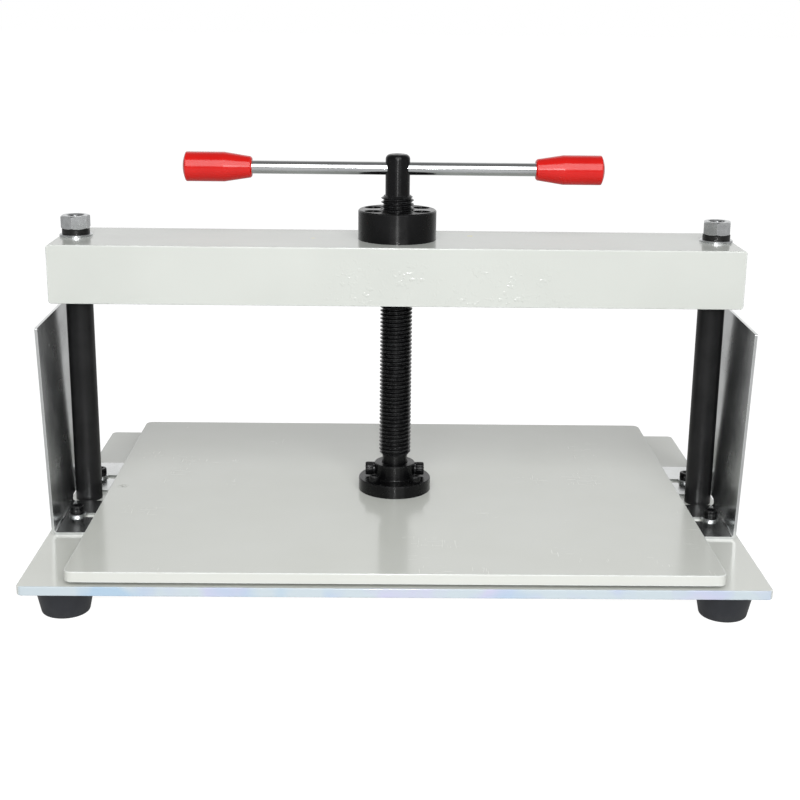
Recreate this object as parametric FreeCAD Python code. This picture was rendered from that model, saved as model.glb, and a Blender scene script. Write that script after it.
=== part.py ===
import FreeCAD, Part
import os
from math import cos, pi, radians, sin, tan

from FreeCAD import Vector

# A bench screw press: a base plate on rubber feet, two pillars and a crossbeam,
# and a threaded spindle that lowers a flat platen when its tommy bar is turned.
# Millimetres. +Z up, +X to the operator's right, -Y towards the operator.
# The origin is on the bench, midway between the feet. Drawn with the platen
# almost closed and the tommy bar lying along X.

# ---------------------------------------------------------------- sizes
# Base plate
BASE_LENGTH = 500.0
BASE_DEPTH = 347.0
BASE_THICK = 6.5
BASE_CORNER_R = 4.0
PLATE_EDGE_BREAK = 0.6

# Rubber feet
FOOT_HEIGHT = 21.5
FOOT_TOP_D = 41.0
FOOT_BOTTOM_D = 32.0
FOOT_INSET = 26.5
FOOT_RIM_R = 2.0
FOOT_SCREW_D = 5.0
FOOT_TAP_FLOOR = 1.2
FOOT_RUBBER_WEB = 10.0
FOOT_RECESS_D = 16.5
FOOT_WASHER_D = 15.0
FOOT_WASHER_THICK = 1.2

# Pillars and their fixings
PILLAR_D = 20.0
PILLAR_LENGTH = 161.5
PILLAR_EDGE_BREAK = 0.6
STUD_D = 12.0
STUD_HOLE_GAP = 1.0
STUD_END_DEPTH = 1.8
PILLAR_TAP_DEPTH = 30.0
PILLAR_BOLT_REACH = 26.0
STUD_EDGE_BREAK = 1.0
HEX_AF = 19.0
HEX_NUT_HEIGHT = 9.7
HEX_HEAD_HEIGHT = 7.5
LEFT_NUT_TURN = 26.0
RIGHT_NUT_TURN = 18.0
BIG_WASHER_D = 24.0
BIG_WASHER_THICK = 1.8
SPRING_WASHER_D = 20.2
SPRING_WASHER_THICK = 4.0
SPRING_WASHER_SLIT = 1.2
SPRING_WASHER_SLANT = 25.0
LEFT_SLIT_TURN = 48.0
RIGHT_SLIT_TURN = 120.0

# Crossbeam
BEAM_DEPTH = 83.0
BEAM_HEIGHT = 42.5
BEAM_END_INSET = 0.5
BEAM_END_R = 2.5
BEAM_EDGE_R = 0.8

# Sheet brackets at the two ends
SHEET = 2.0
BEND_R = 2.0
WALL_INSET = 1.7
WALL_TOP_GAP = 9.0
WALL_LEAN = 1.5
BRACKET_TOE_IN = 1.0
BRACKET_LENGTH = 160.0
BRACKET_FOOT = 27.3
BRACKET_CORNER_R = 1.0
BRACKET_SCREW_PITCH = 88.0
BRACKET_SCREW_D = 6.0
BRACKET_SCREW_END_INSET = 0.5
BRACKET_WASHER_D = 12.4
BRACKET_WASHER_THICK = 1.6
SLOT_WIDTH = 9.0
NOTCH_GAP = 2.5
NOTCH_RISE = 6.0
NOTCH_TOP_R = 5.0
PILLAR_WALL_GAP = 0.3

# Spindle, M24 x 3
SCREW_D = 24.0
SCREW_PITCH = 3.0
THREAD_DEPTH = 0.6134 * SCREW_PITCH
THREAD_SINK = 0.25
THREAD_LOWER_TAPER = 2.6
THREAD_UPPER_TAPER = 2.0
SHANK_STEP = 3.05
SHANK_TOP_R = 3.5
SHANK_RISE = 40.2
THREAD_RISE = 10.6
NECK_STEP = 2.5
NECK_SHOW = 6.3
GROOVE_DEPTH = 2.0
CROSS_HOLE_DROP = 10.3
SPINDLE_EDGE_BREAK = 0.5

# Round nut on the crossbeam
NUT_FLANGE_HEIGHT = 21.7
NUT_EDGE_BREAK = 0.8
NUT_SPIGOT_WALL = 3.5
NUT_SPIGOT_INSET = 2.5
NUT_BOLT_COUNT = 6
NUT_BOLT_D = 6.0
NUT_BOLT_REACH = 10.8
NUT_BOLT_GAP = 2.0
NUT_OUTER_WALL = 1.9
NUT_COUNTERBORE_D = 12.6
NUT_COUNTERBORE_DEPTH = 7.5

# Platen and the flange that carries it
REST_GAP = 2.6
PLATEN_SIDE_GAP = 2.0
PLATEN_SETBACK = 1.0
PLATEN_THICK = 7.6
PLATEN_CORNER_R = 6.0
FLANGE_THICK = 9.6
FLANGE_EDGE_BREAK = 0.6
HUB_WALL = 5.9
HUB_HEIGHT = 11.6
HUB_ROOT_R = 1.0
FLANGE_BOLT_COUNT = 4
FLANGE_BOLT_D = 5.0
FLANGE_BOLT_GAP = 2.1
FLANGE_OUTER_LAND = 1.5
PLATEN_TAP_FLOOR = 0.7
RETAINER_D = 6.0
RETAINER_STAND_OFF = 1.0
RETAINER_HEIGHT = 15.6
DOG_D = 4.6
DOG_LENGTH = 2.6
THRUST_DISC_THICK = 3.0
THRUST_DISC_EDGE = 0.4

# Tommy bar and grips
BAR_D = 9.5
BAR_SPAN = 306.8
BAR_OFFSET = -2.7
GRIP_D = 21.4
GRIP_NECK_D = 15.4
GRIP_LENGTH = 47.7
GRIP_TAPER = 20.0
GRIP_DOME = 2.5
GRIP_EDGE_R = 1.0
GRIP_SOCKET_DEPTH = 42.0
GRIP_SOCKET_GAP = 1.0
BAR_EDGE_BREAK = 0.8

# Socket heads, as multiples of the thread diameter
CAP_HEAD_RATIO = 1.5
CAP_HEAD_EXTRA = 1.0
CAP_SOCKET_RATIO = 0.8
CAP_SOCKET_EXTRA = 0.2
BUTTON_HEAD_RATIO = 1.9
BUTTON_HEIGHT_RATIO = 0.6
SCREW_EDGE_RATIO = 0.08

# Clearances
THREAD_FIT = 0.05       # radial, between a screw and its tapped hole
RUNNING_FIT = 0.08      # radial, between a turning or sliding pair
SEAT_FIT = 0.05         # radial, between a spigot or a bar and its seat
SCREW_HOLE_FIT = 0.3    # radial, of a clearance hole
THRUST_GAP = 0.05       # axial, under the spindle's end
DOG_GAP = 0.3           # between a dog point and its groove
TAP_RUNOUT = 0.5        # depth of a blind hole past its screw's end
CUT = 1.0               # overrun of a cutter past a face

# ---------------------------------------------------------------- places
base_bottom_z = FOOT_HEIGHT
base_top_z = base_bottom_z + BASE_THICK
beam_bottom_z = base_top_z + PILLAR_LENGTH
beam_top_z = beam_bottom_z + BEAM_HEIGHT
nut_top_z = beam_top_z + NUT_FLANGE_HEIGHT

platen_bottom_z = base_top_z + REST_GAP
platen_top_z = platen_bottom_z + PLATEN_THICK
flange_top_z = platen_top_z + FLANGE_THICK
hub_top_z = flange_top_z + HUB_HEIGHT
retainer_z = platen_top_z + RETAINER_HEIGHT

thread_bottom_z = hub_top_z + NECK_SHOW
thread_top_z = nut_top_z + THREAD_RISE
shank_top_z = nut_top_z + SHANK_RISE
bar_z = shank_top_z - CROSS_HOLE_DROP

wall_outer_x = BASE_LENGTH / 2 - WALL_INSET
wall_inner_x = wall_outer_x - SHEET
wall_top_z = beam_bottom_z - WALL_TOP_GAP
stud_hole_d = STUD_D + STUD_HOLE_GAP
pillar_x = wall_inner_x - PILLAR_WALL_GAP - PILLAR_D / 2
bracket_edge_x = wall_outer_x - BRACKET_FOOT
foot_x = BASE_LENGTH / 2 - FOOT_INSET
foot_y = BASE_DEPTH / 2 - FOOT_INSET
platen_length = 2 * (bracket_edge_x - PLATEN_SIDE_GAP)
platen_depth = BASE_DEPTH - 2 * PLATEN_SETBACK
beam_length = BASE_LENGTH - 2 * BEAM_END_INSET

neck_d = SCREW_D - 2 * NECK_STEP
shank_d = SCREW_D - 2 * SHANK_STEP
nut_spigot_d = SCREW_D + 2 * NUT_SPIGOT_WALL
nut_bolt_circle_d = nut_spigot_d + NUT_BOLT_D + 2 * NUT_BOLT_GAP
nut_flange_d = nut_bolt_circle_d + NUT_COUNTERBORE_D + 2 * NUT_OUTER_WALL
hub_d = neck_d + 2 * HUB_WALL
flange_head_d = CAP_HEAD_RATIO * FLANGE_BOLT_D + CAP_HEAD_EXTRA
flange_bolt_circle_d = hub_d + flange_head_d + 2 * FLANGE_BOLT_GAP
flange_d = flange_bolt_circle_d + flange_head_d + 2 * FLANGE_OUTER_LAND

foot_screw_length = FOOT_RUBBER_WEB + FOOT_WASHER_THICK + BASE_THICK - FOOT_TAP_FLOOR - TAP_RUNOUT
pillar_bolt_length = BIG_WASHER_THICK + BASE_THICK + PILLAR_BOLT_REACH
bracket_screw_length = SHEET + BRACKET_WASHER_THICK + BASE_THICK - BRACKET_SCREW_END_INSET
nut_bolt_length = NUT_FLANGE_HEIGHT - NUT_COUNTERBORE_DEPTH + NUT_BOLT_REACH
flange_bolt_length = FLANGE_THICK + PLATEN_THICK - PLATEN_TAP_FLOOR - TAP_RUNOUT

pillar_places = [(-pillar_x, 0.0), (pillar_x, 0.0)]
foot_places = [(side * foot_x, end * foot_y) for end in (-1, 1) for side in (-1, 1)]
bracket_screw_y = BRACKET_SCREW_PITCH / 2
nut_bolt_angles = [360.0 / NUT_BOLT_COUNT * (i + 0.5) for i in range(NUT_BOLT_COUNT)]
flange_bolt_angles = [360.0 / FLANGE_BOLT_COUNT * (i + 0.5) for i in range(FLANGE_BOLT_COUNT)]


# ---------------------------------------------------------------- tools
def turned(points):
    """Solid of revolution about Z from its half outline, given as (radius, z)."""
    outline = [Vector(r, 0, z) for r, z in points]
    face = Part.Face(Part.makePolygon(outline + outline[:1]))
    return face.revolve(Vector(0, 0, 0), Vector(0, 0, 1), 360)


def cylinder(d, z0, z1, x=0.0, y=0.0):
    return Part.makeCylinder(d / 2, z1 - z0, Vector(x, y, z0))


def block(x0, x1, y0, y1, z0, z1):
    return Part.makeBox(x1 - x0, y1 - y0, z1 - z0, Vector(x0, y0, z0))


def at(shape, x=0.0, y=0.0, z=0.0):
    moved = shape.copy()
    moved.translate(Vector(x, y, z))
    return moved


def turned_about_z(shape, angle):
    moved = shape.copy()
    moved.rotate(Vector(0, 0, 0), Vector(0, 0, 1), angle)
    return moved


def on_circle(d, angle):
    return d / 2 * cos(radians(angle)), d / 2 * sin(radians(angle))


def rings(shape, d, z):
    """Circular edges of the given diameter whose centres are at height z."""
    found = []
    for edge in shape.Edges:
        if edge.Degenerated or not isinstance(edge.Curve, Part.Circle):
            continue
        if abs(edge.Curve.Radius - d / 2) < 1e-4 and abs(edge.Curve.Center.z - z) < 1e-4:
            found.append(edge)
    return found


def edges_along(shape, axis):
    """Straight edges that run along an axis: 0 for X, 1 for Y, 2 for Z."""
    found = []
    for edge in shape.Edges:
        if isinstance(edge.Curve, Part.Line):
            run = edge.Vertexes[-1].Point - edge.Vertexes[0].Point
            if abs(abs(run[axis]) - run.Length) < 1e-6:
                found.append(edge)
    return found


def edges_in_plane(shape, axis, value):
    """Edges that lie wholly in the plane where the axis has the value."""
    found = []
    for edge in shape.Edges:
        box = edge.BoundBox
        low = (box.XMin, box.YMin, box.ZMin)[axis]
        high = (box.XMax, box.YMax, box.ZMax)[axis]
        if abs(low - value) < 1e-3 and abs(high - value) < 1e-3:
            found.append(edge)
    return found


def rounded_plate(length, depth, z0, z1, corner_r):
    """Flat plate with rounded corners and broken edges."""
    plate = block(-length / 2, length / 2, -depth / 2, depth / 2, z0, z1)
    plate = plate.makeFillet(corner_r, edges_along(plate, 2))
    rim = edges_in_plane(plate, 2, z0) + edges_in_plane(plate, 2, z1)
    return plate.makeFillet(PLATE_EDGE_BREAK, rim)


def washer(outer_d, inner_d, thick):
    """Flat washer standing on z = 0, with its upper rim broken."""
    edge = min(0.3, thick / 4)
    return turned([(inner_d / 2, 0), (outer_d / 2, 0), (outer_d / 2, thick - edge),
                   (outer_d / 2 - edge, thick), (inner_d / 2, thick)])


def cap_screw(d, length):
    """Socket head cap screw: the head stands on z = 0 and the shank hangs below it."""
    head_d = CAP_HEAD_RATIO * d + CAP_HEAD_EXTRA
    socket_af = CAP_SOCKET_RATIO * d + CAP_SOCKET_EXTRA
    edge = SCREW_EDGE_RATIO * d
    screw = turned([(0, -length), (d / 2 - edge, -length), (d / 2, edge - length), (d / 2, 0),
                    (head_d / 2, 0), (head_d / 2, d - edge), (head_d / 2 - edge, d), (0, d)])
    return screw.cut(hexagon(socket_af, d / 2, d + CUT))


def button_screw(d, length):
    """Low round-head screw for the rubber feet, head below z = 0 and shank above it."""
    head_d = BUTTON_HEAD_RATIO * d
    head_height = BUTTON_HEIGHT_RATIO * d
    edge = SCREW_EDGE_RATIO * d
    screw = turned([(0, length), (d / 2 - edge, length), (d / 2, length - edge), (d / 2, 0),
                    (head_d / 2, 0), (head_d / 2, -head_height / 3),
                    (head_d / 3, -head_height), (0, -head_height)])
    return screw.cut(hexagon(head_height, -head_height - CUT, -head_height / 3))


def hexagon(across_flats, z0, z1):
    """Upright hexagonal prism with a corner on +X."""
    radius = across_flats / 2 / cos(pi / 6)
    corners = [Vector(radius * cos(pi / 3 * i), radius * sin(pi / 3 * i), z0) for i in range(6)]
    face = Part.Face(Part.makePolygon(corners + corners[:1]))
    return face.extrude(Vector(0, 0, z1 - z0))


def hex_blank(across_flats, height):
    """Hexagonal nut or bolt-head blank on z = 0 with its corners turned off at 30 degrees."""
    flat_r = across_flats / 2
    corner_r = flat_r / cos(pi / 6)
    drop = (corner_r - flat_r) * tan(pi / 6)
    envelope = turned([(0, 0), (flat_r, 0), (corner_r, drop), (corner_r, height - drop),
                       (flat_r, height), (0, height)])
    return hexagon(across_flats, 0, height).common(envelope)


def drill(shape, d, z0, z1, places):
    """Upright round holes from z0 to z1 at the given (x, y) places."""
    for x, y in places:
        shape = shape.cut(cylinder(d, z0, z1, x, y))
    return shape


def mirrored(shape):
    return shape.mirror(Vector(0, 0, 0), Vector(1, 0, 0))


def group(shapes):
    return Part.makeCompound(shapes)


def save(name, shape):
    shape.exportStep("parts/" + name + ".step")


# ---------------------------------------------------------------- frame
def base_plate():
    plate = rounded_plate(BASE_LENGTH, BASE_DEPTH, base_bottom_z, base_top_z, BASE_CORNER_R)
    plate = drill(plate, stud_hole_d, base_bottom_z - CUT, base_top_z + CUT, pillar_places)
    tap_d = BRACKET_SCREW_D + 2 * THREAD_FIT
    taps = [(side * pillar_x, end * bracket_screw_y) for side in (-1, 1) for end in (-1, 1)]
    plate = drill(plate, tap_d, base_bottom_z - CUT, base_top_z + CUT, taps)
    foot_tap_d = FOOT_SCREW_D + 2 * THREAD_FIT
    return drill(plate, foot_tap_d, base_bottom_z - CUT, base_top_z - FOOT_TAP_FLOOR, foot_places)


def rubber_foot(x, y):
    foot = turned([(0, 0), (FOOT_BOTTOM_D / 2, 0), (FOOT_TOP_D / 2, FOOT_HEIGHT), (0, FOOT_HEIGHT)])
    foot = foot.makeFillet(FOOT_RIM_R, rings(foot, FOOT_BOTTOM_D, 0))
    web_z = FOOT_HEIGHT - FOOT_RUBBER_WEB
    foot = foot.cut(cylinder(FOOT_RECESS_D, -CUT, web_z))
    foot = foot.cut(cylinder(FOOT_SCREW_D + 2 * SCREW_HOLE_FIT, 0, FOOT_HEIGHT + CUT))
    return at(foot, x, y)


def foot_washers():
    ring = washer(FOOT_WASHER_D, FOOT_SCREW_D + 2 * SCREW_HOLE_FIT, FOOT_WASHER_THICK)
    z = base_bottom_z - FOOT_RUBBER_WEB - FOOT_WASHER_THICK
    return group([at(ring, x, y, z) for x, y in foot_places])


def foot_screws():
    screw = button_screw(FOOT_SCREW_D, foot_screw_length)
    z = base_bottom_z - FOOT_RUBBER_WEB - FOOT_WASHER_THICK
    return group([at(screw, x, y, z) for x, y in foot_places])


def pillar(x):
    """Round pillar: tapped at the foot, with a threaded stud turned on its top."""
    stud_top_z = beam_top_z + BIG_WASHER_THICK + SPRING_WASHER_THICK + HEX_NUT_HEIGHT - STUD_END_DEPTH
    r = PILLAR_D / 2
    edge = PILLAR_EDGE_BREAK
    stud_r = STUD_D / 2
    rod = turned([(0, base_top_z), (r - edge, base_top_z), (r, base_top_z + edge),
                  (r, beam_bottom_z - edge), (r - edge, beam_bottom_z), (stud_r, beam_bottom_z),
                  (stud_r, stud_top_z - STUD_EDGE_BREAK), (stud_r - STUD_EDGE_BREAK, stud_top_z),
                  (0, stud_top_z)])
    tap = cylinder(STUD_D + 2 * THREAD_FIT, base_top_z - CUT, base_top_z + PILLAR_TAP_DEPTH)
    return at(rod.cut(tap), x)


def pillar_bolts():
    """Hexagon bolts that pull the pillars down, driven up from under the base plate."""
    head = hex_blank(HEX_AF, HEX_HEAD_HEIGHT)
    head.rotate(Vector(0, 0, 0), Vector(1, 0, 0), 180)
    edge = STUD_EDGE_BREAK
    r = STUD_D / 2
    shank = turned([(0, 0), (r, 0), (r, pillar_bolt_length - edge),
                    (r - edge, pillar_bolt_length), (0, pillar_bolt_length)])
    bolt = head.fuse(shank).removeSplitter()
    return group([at(bolt, x, y, base_bottom_z - BIG_WASHER_THICK) for x, y in pillar_places])


def pillar_bolt_washers():
    ring = washer(BIG_WASHER_D, stud_hole_d, BIG_WASHER_THICK)
    z = base_bottom_z - BIG_WASHER_THICK
    return group([at(ring, x, y, z) for x, y in pillar_places])


def crossbeam():
    x = beam_length / 2
    y = BEAM_DEPTH / 2
    beam = block(-x, x, -y, y, beam_bottom_z, beam_top_z)
    beam = beam.makeFillet(BEAM_END_R, edges_along(beam, 1))
    rim = edges_in_plane(beam, 1, -y) + edges_in_plane(beam, 1, y)
    beam = beam.makeFillet(BEAM_EDGE_R, rim)
    beam = drill(beam, stud_hole_d, beam_bottom_z - CUT, beam_top_z + CUT, pillar_places)
    beam = drill(beam, nut_spigot_d + 2 * SEAT_FIT, beam_bottom_z - CUT, beam_top_z + CUT, [(0, 0)])
    bolt_end_z = beam_top_z - NUT_BOLT_REACH
    taps = [on_circle(nut_bolt_circle_d, angle) for angle in nut_bolt_angles]
    tap_d = NUT_BOLT_D + 2 * THREAD_FIT
    return drill(beam, tap_d, bolt_end_z - TAP_RUNOUT, beam_top_z + CUT, taps)


def flat_washer(x):
    ring = washer(BIG_WASHER_D, STUD_D + 2 * SCREW_HOLE_FIT, BIG_WASHER_THICK)
    return at(ring, x, 0, beam_top_z)


def spring_washer(x, turn):
    """Split lock washer, squeezed flat, with its slit cut on the slant."""
    inner_r = STUD_D / 2 + SCREW_HOLE_FIT
    ring = washer(SPRING_WASHER_D, 2 * inner_r, SPRING_WASHER_THICK)
    slit = block(0, SPRING_WASHER_D, -SPRING_WASHER_SLIT / 2, SPRING_WASHER_SLIT / 2,
                 -SPRING_WASHER_D, SPRING_WASHER_D)
    slit.rotate(Vector(0, 0, SPRING_WASHER_THICK / 2), Vector(1, 0, 0), SPRING_WASHER_SLANT)
    return at(turned_about_z(ring.cut(slit), turn), x, 0, beam_top_z + BIG_WASHER_THICK)


def hex_nut(x, turn):
    nut = hex_blank(HEX_AF, HEX_NUT_HEIGHT)
    hole_r = STUD_D / 2 + THREAD_FIT
    edge = STUD_EDGE_BREAK
    nut = nut.cut(cylinder(2 * hole_r, -CUT, HEX_NUT_HEIGHT + CUT))
    mouth = turned([(0, HEX_NUT_HEIGHT - edge), (hole_r, HEX_NUT_HEIGHT - edge),
                    (hole_r + edge, HEX_NUT_HEIGHT), (0, HEX_NUT_HEIGHT)])
    seat_z = beam_top_z + BIG_WASHER_THICK + SPRING_WASHER_THICK
    return at(turned_about_z(nut.cut(mouth), turn), x, 0, seat_z)


def side_bracket():
    """Right-hand bracket: a foot on the base plate, bent up into an end wall that leans out
    a little, the whole turned slightly so that its near end sits further in."""
    lean = radians(WALL_LEAN)
    bend_x = wall_outer_x - SHEET - BEND_R
    bend_z = base_top_z + SHEET + BEND_R
    foot_top_z = base_top_z + SHEET

    def bend_point(radius, angle):
        return Vector(bend_x + radius * cos(angle), 0, bend_z + radius * sin(angle))

    def bend(radius):
        return Part.Arc(bend_point(radius, -pi / 2), bend_point(radius, -(pi / 2 + lean) / 2),
                        bend_point(radius, -lean)).toShape()

    foot_low = Vector(bracket_edge_x, 0, base_top_z)
    foot_high = Vector(bracket_edge_x, 0, foot_top_z)
    outer = bend_point(BEND_R + SHEET, -lean)
    inner = bend_point(BEND_R, -lean)
    up_the_wall = Vector((wall_top_z - bend_z) * tan(lean), 0, wall_top_z - bend_z)
    outline = [Part.makeLine(foot_low, bend_point(BEND_R + SHEET, -pi / 2)),
               bend(BEND_R + SHEET),
               Part.makeLine(outer, outer + up_the_wall),
               Part.makeLine(outer + up_the_wall, inner + up_the_wall),
               Part.makeLine(inner + up_the_wall, inner),
               bend(BEND_R),
               Part.makeLine(bend_point(BEND_R, -pi / 2), foot_high),
               Part.makeLine(foot_high, foot_low)]
    face = Part.Face(Part.Wire(Part.__sortEdges__(outline)))
    sheet = face.extrude(Vector(0, BRACKET_LENGTH, 0))
    sheet.translate(Vector(0, -BRACKET_LENGTH / 2, 0))
    sheet = sheet.makeFillet(BRACKET_CORNER_R, wall_top_corners(sheet))

    for y in (-bracket_screw_y, bracket_screw_y):
        slot = block(bracket_edge_x - CUT, pillar_x, y - SLOT_WIDTH / 2, y + SLOT_WIDTH / 2,
                     base_top_z - CUT, foot_top_z + CUT)
        sheet = sheet.cut(slot)
        sheet = sheet.cut(cylinder(SLOT_WIDTH, base_top_z - CUT, foot_top_z + CUT, pillar_x, y))

    notch_y = PILLAR_D / 2 + NOTCH_GAP
    notch = block(bracket_edge_x - CUT, wall_outer_x + CUT, -notch_y, notch_y,
                  base_top_z - CUT, base_top_z + NOTCH_RISE)
    upper = [edge for edge in edges_along(notch, 0) if edge.BoundBox.ZMin > base_top_z]
    sheet = sheet.cut(notch.makeFillet(NOTCH_TOP_R, upper))
    sheet.rotate(Vector(pillar_x, 0, 0), Vector(0, 0, 1), -BRACKET_TOE_IN)
    return sheet


def wall_top_corners(sheet):
    """The two short edges across the sheet at the wall's top corners."""
    return [edge for edge in sheet.Edges
            if edge.BoundBox.ZMin > wall_top_z - SHEET and edge.Length < 1.5 * SHEET]


def bracket_screws():
    screw = cap_screw(BRACKET_SCREW_D, bracket_screw_length)
    z = base_top_z + SHEET + BRACKET_WASHER_THICK
    return group([at(screw, side * pillar_x, end * bracket_screw_y, z)
                  for side in (-1, 1) for end in (-1, 1)])


def bracket_washers():
    ring = washer(BRACKET_WASHER_D, BRACKET_SCREW_D + 2 * SCREW_HOLE_FIT, BRACKET_WASHER_THICK)
    z = base_top_z + SHEET
    return group([at(ring, side * pillar_x, end * bracket_screw_y, z)
                  for side in (-1, 1) for end in (-1, 1)])


def screw_nut():
    """Round flanged nut: a long plain spigot goes down through the crossbeam."""
    flange_r = nut_flange_d / 2
    spigot_r = nut_spigot_d / 2
    edge = NUT_EDGE_BREAK
    bore_r = SCREW_D / 2 + RUNNING_FIT
    foot_z = beam_bottom_z + NUT_SPIGOT_INSET
    nut = turned([(bore_r, foot_z), (spigot_r - edge, foot_z),
                  (spigot_r, foot_z + edge), (spigot_r, beam_top_z),
                  (flange_r, beam_top_z), (flange_r, nut_top_z - edge),
                  (flange_r - edge, nut_top_z), (bore_r + edge, nut_top_z),
                  (bore_r, nut_top_z - edge)])
    places = [on_circle(nut_bolt_circle_d, angle) for angle in nut_bolt_angles]
    hole_d = NUT_BOLT_D + 2 * SCREW_HOLE_FIT
    nut = drill(nut, hole_d, beam_top_z - CUT, nut_top_z, places)
    return drill(nut, NUT_COUNTERBORE_D, nut_top_z - NUT_COUNTERBORE_DEPTH, nut_top_z + CUT, places)


def screw_nut_bolts():
    bolt = cap_screw(NUT_BOLT_D, nut_bolt_length)
    z = nut_top_z - NUT_COUNTERBORE_DEPTH
    bolts = []
    for angle in nut_bolt_angles:
        x, y = on_circle(nut_bolt_circle_d, angle)
        bolts.append(at(bolt, x, y, z))
    return group(bolts)


# ---------------------------------------------------------------- platen
def press_platen():
    plate = rounded_plate(platen_length, platen_depth, platen_bottom_z, platen_top_z, PLATEN_CORNER_R)
    taps = [on_circle(flange_bolt_circle_d, angle) for angle in flange_bolt_angles]
    tap_d = FLANGE_BOLT_D + 2 * THREAD_FIT
    return drill(plate, tap_d, platen_bottom_z + PLATEN_TAP_FLOOR, platen_top_z + CUT, taps)


def spindle_flange():
    """Flange with a hub that holds the spindle's neck, bored right through."""
    flange_r = flange_d / 2
    hub_r = hub_d / 2
    edge = FLANGE_EDGE_BREAK
    bore_r = neck_d / 2 + RUNNING_FIT
    flange = turned([(bore_r, platen_top_z), (flange_r, platen_top_z),
                     (flange_r, flange_top_z - edge), (flange_r - edge, flange_top_z),
                     (hub_r, flange_top_z), (hub_r, hub_top_z - edge),
                     (hub_r - edge, hub_top_z), (bore_r + edge, hub_top_z),
                     (bore_r, hub_top_z - edge)])
    flange = flange.makeFillet(HUB_ROOT_R, rings(flange, hub_d, flange_top_z))
    places = [on_circle(flange_bolt_circle_d, angle) for angle in flange_bolt_angles]
    hole_d = FLANGE_BOLT_D + 2 * SCREW_HOLE_FIT
    flange = drill(flange, hole_d, platen_top_z - CUT, flange_top_z + CUT, places)
    tap = Part.makeCylinder(RETAINER_D / 2 + THREAD_FIT, flange_d, Vector(-flange_r, 0, retainer_z),
                            Vector(1, 0, 0))
    return flange.cut(tap)


def flange_bolts():
    bolt = cap_screw(FLANGE_BOLT_D, flange_bolt_length)
    bolts = []
    for angle in flange_bolt_angles:
        x, y = on_circle(flange_bolt_circle_d, angle)
        bolts.append(at(bolt, x, y, flange_top_z))
    return group(bolts)


def retaining_screw(side):
    """Cap screw with a dog point that runs in the spindle's groove."""
    seat_x = hub_d / 2 + RETAINER_STAND_OFF
    tip_x = neck_d / 2 - GROOVE_DEPTH + DOG_GAP
    dog_x = tip_x + DOG_LENGTH
    screw = cap_screw(RETAINER_D, seat_x - dog_x)
    screw = screw.fuse(cylinder(DOG_D, tip_x - seat_x, dog_x - seat_x)).removeSplitter()
    screw.translate(Vector(0, 0, seat_x))
    screw.rotate(Vector(0, 0, 0), Vector(0, 1, 0), 90 * side)
    return at(screw, 0, 0, retainer_z)


def thrust_disc():
    disc_r = neck_d / 2 - RUNNING_FIT
    edge = THRUST_DISC_EDGE
    top_z = platen_top_z + THRUST_DISC_THICK
    return turned([(0, platen_top_z), (disc_r, platen_top_z), (disc_r, top_z - edge),
                   (disc_r - edge, top_z), (0, top_z)])


# ---------------------------------------------------------------- spindle
def helical_ridge(z0, z1, root_r, crest_r, pitch):
    """Right-hand thread ridge with a 60 degree flank, rooted just inside the core."""
    sunk_r = root_r - THREAD_SINK
    crest_half = pitch / 16
    root_half = crest_half + (crest_r - sunk_r) * tan(pi / 6)
    outline = [Vector(sunk_r, 0, -root_half), Vector(crest_r, 0, -crest_half),
               Vector(crest_r, 0, crest_half), Vector(sunk_r, 0, root_half)]
    outline.append(outline[0])
    path = Part.Wire(Part.makeLongHelix(pitch, z1 - z0, root_r, 0))
    ridge = path.makePipeShell([Part.makePolygon(outline)], True, True)
    ridge.translate(Vector(0, 0, z0))
    return ridge


def spindle():
    """Threaded spindle: grooved neck, long thread, plain shank with a cross hole."""
    crest_r = SCREW_D / 2
    root_r = crest_r - THREAD_DEPTH
    neck_r = neck_d / 2
    shank_r = shank_d / 2
    groove_half = DOG_D / 2 + DOG_GAP
    groove_r = neck_r - GROOVE_DEPTH
    end_z = platen_top_z + THRUST_DISC_THICK + THRUST_GAP
    edge = SPINDLE_EDGE_BREAK
    core = turned([(0, end_z), (neck_r - edge, end_z), (neck_r, end_z + edge),
                   (neck_r, retainer_z - groove_half), (groove_r, retainer_z - groove_half),
                   (groove_r, retainer_z + groove_half), (neck_r, retainer_z + groove_half),
                   (neck_r, thread_bottom_z), (root_r, thread_bottom_z + edge),
                   (root_r, thread_top_z - edge), (shank_r, thread_top_z),
                   (shank_r, shank_top_z), (0, shank_top_z)])
    core = core.makeFillet(SHANK_TOP_R, rings(core, shank_d, shank_top_z))

    clear_r = crest_r + THREAD_SINK
    envelope = turned([(0, thread_bottom_z), (root_r - edge, thread_bottom_z),
                       (clear_r, thread_bottom_z + THREAD_LOWER_TAPER),
                       (clear_r, thread_top_z - THREAD_UPPER_TAPER),
                       (root_r - edge, thread_top_z), (0, thread_top_z)])
    ridge = helical_ridge(thread_bottom_z - SCREW_PITCH, thread_top_z + SCREW_PITCH,
                          root_r, crest_r, SCREW_PITCH)
    screw = core.fuse(ridge.common(envelope))
    hole = Part.makeCylinder(BAR_D / 2 + RUNNING_FIT, 2 * shank_d, Vector(-shank_d, 0, bar_z),
                             Vector(1, 0, 0))
    return screw.cut(hole)


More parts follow.
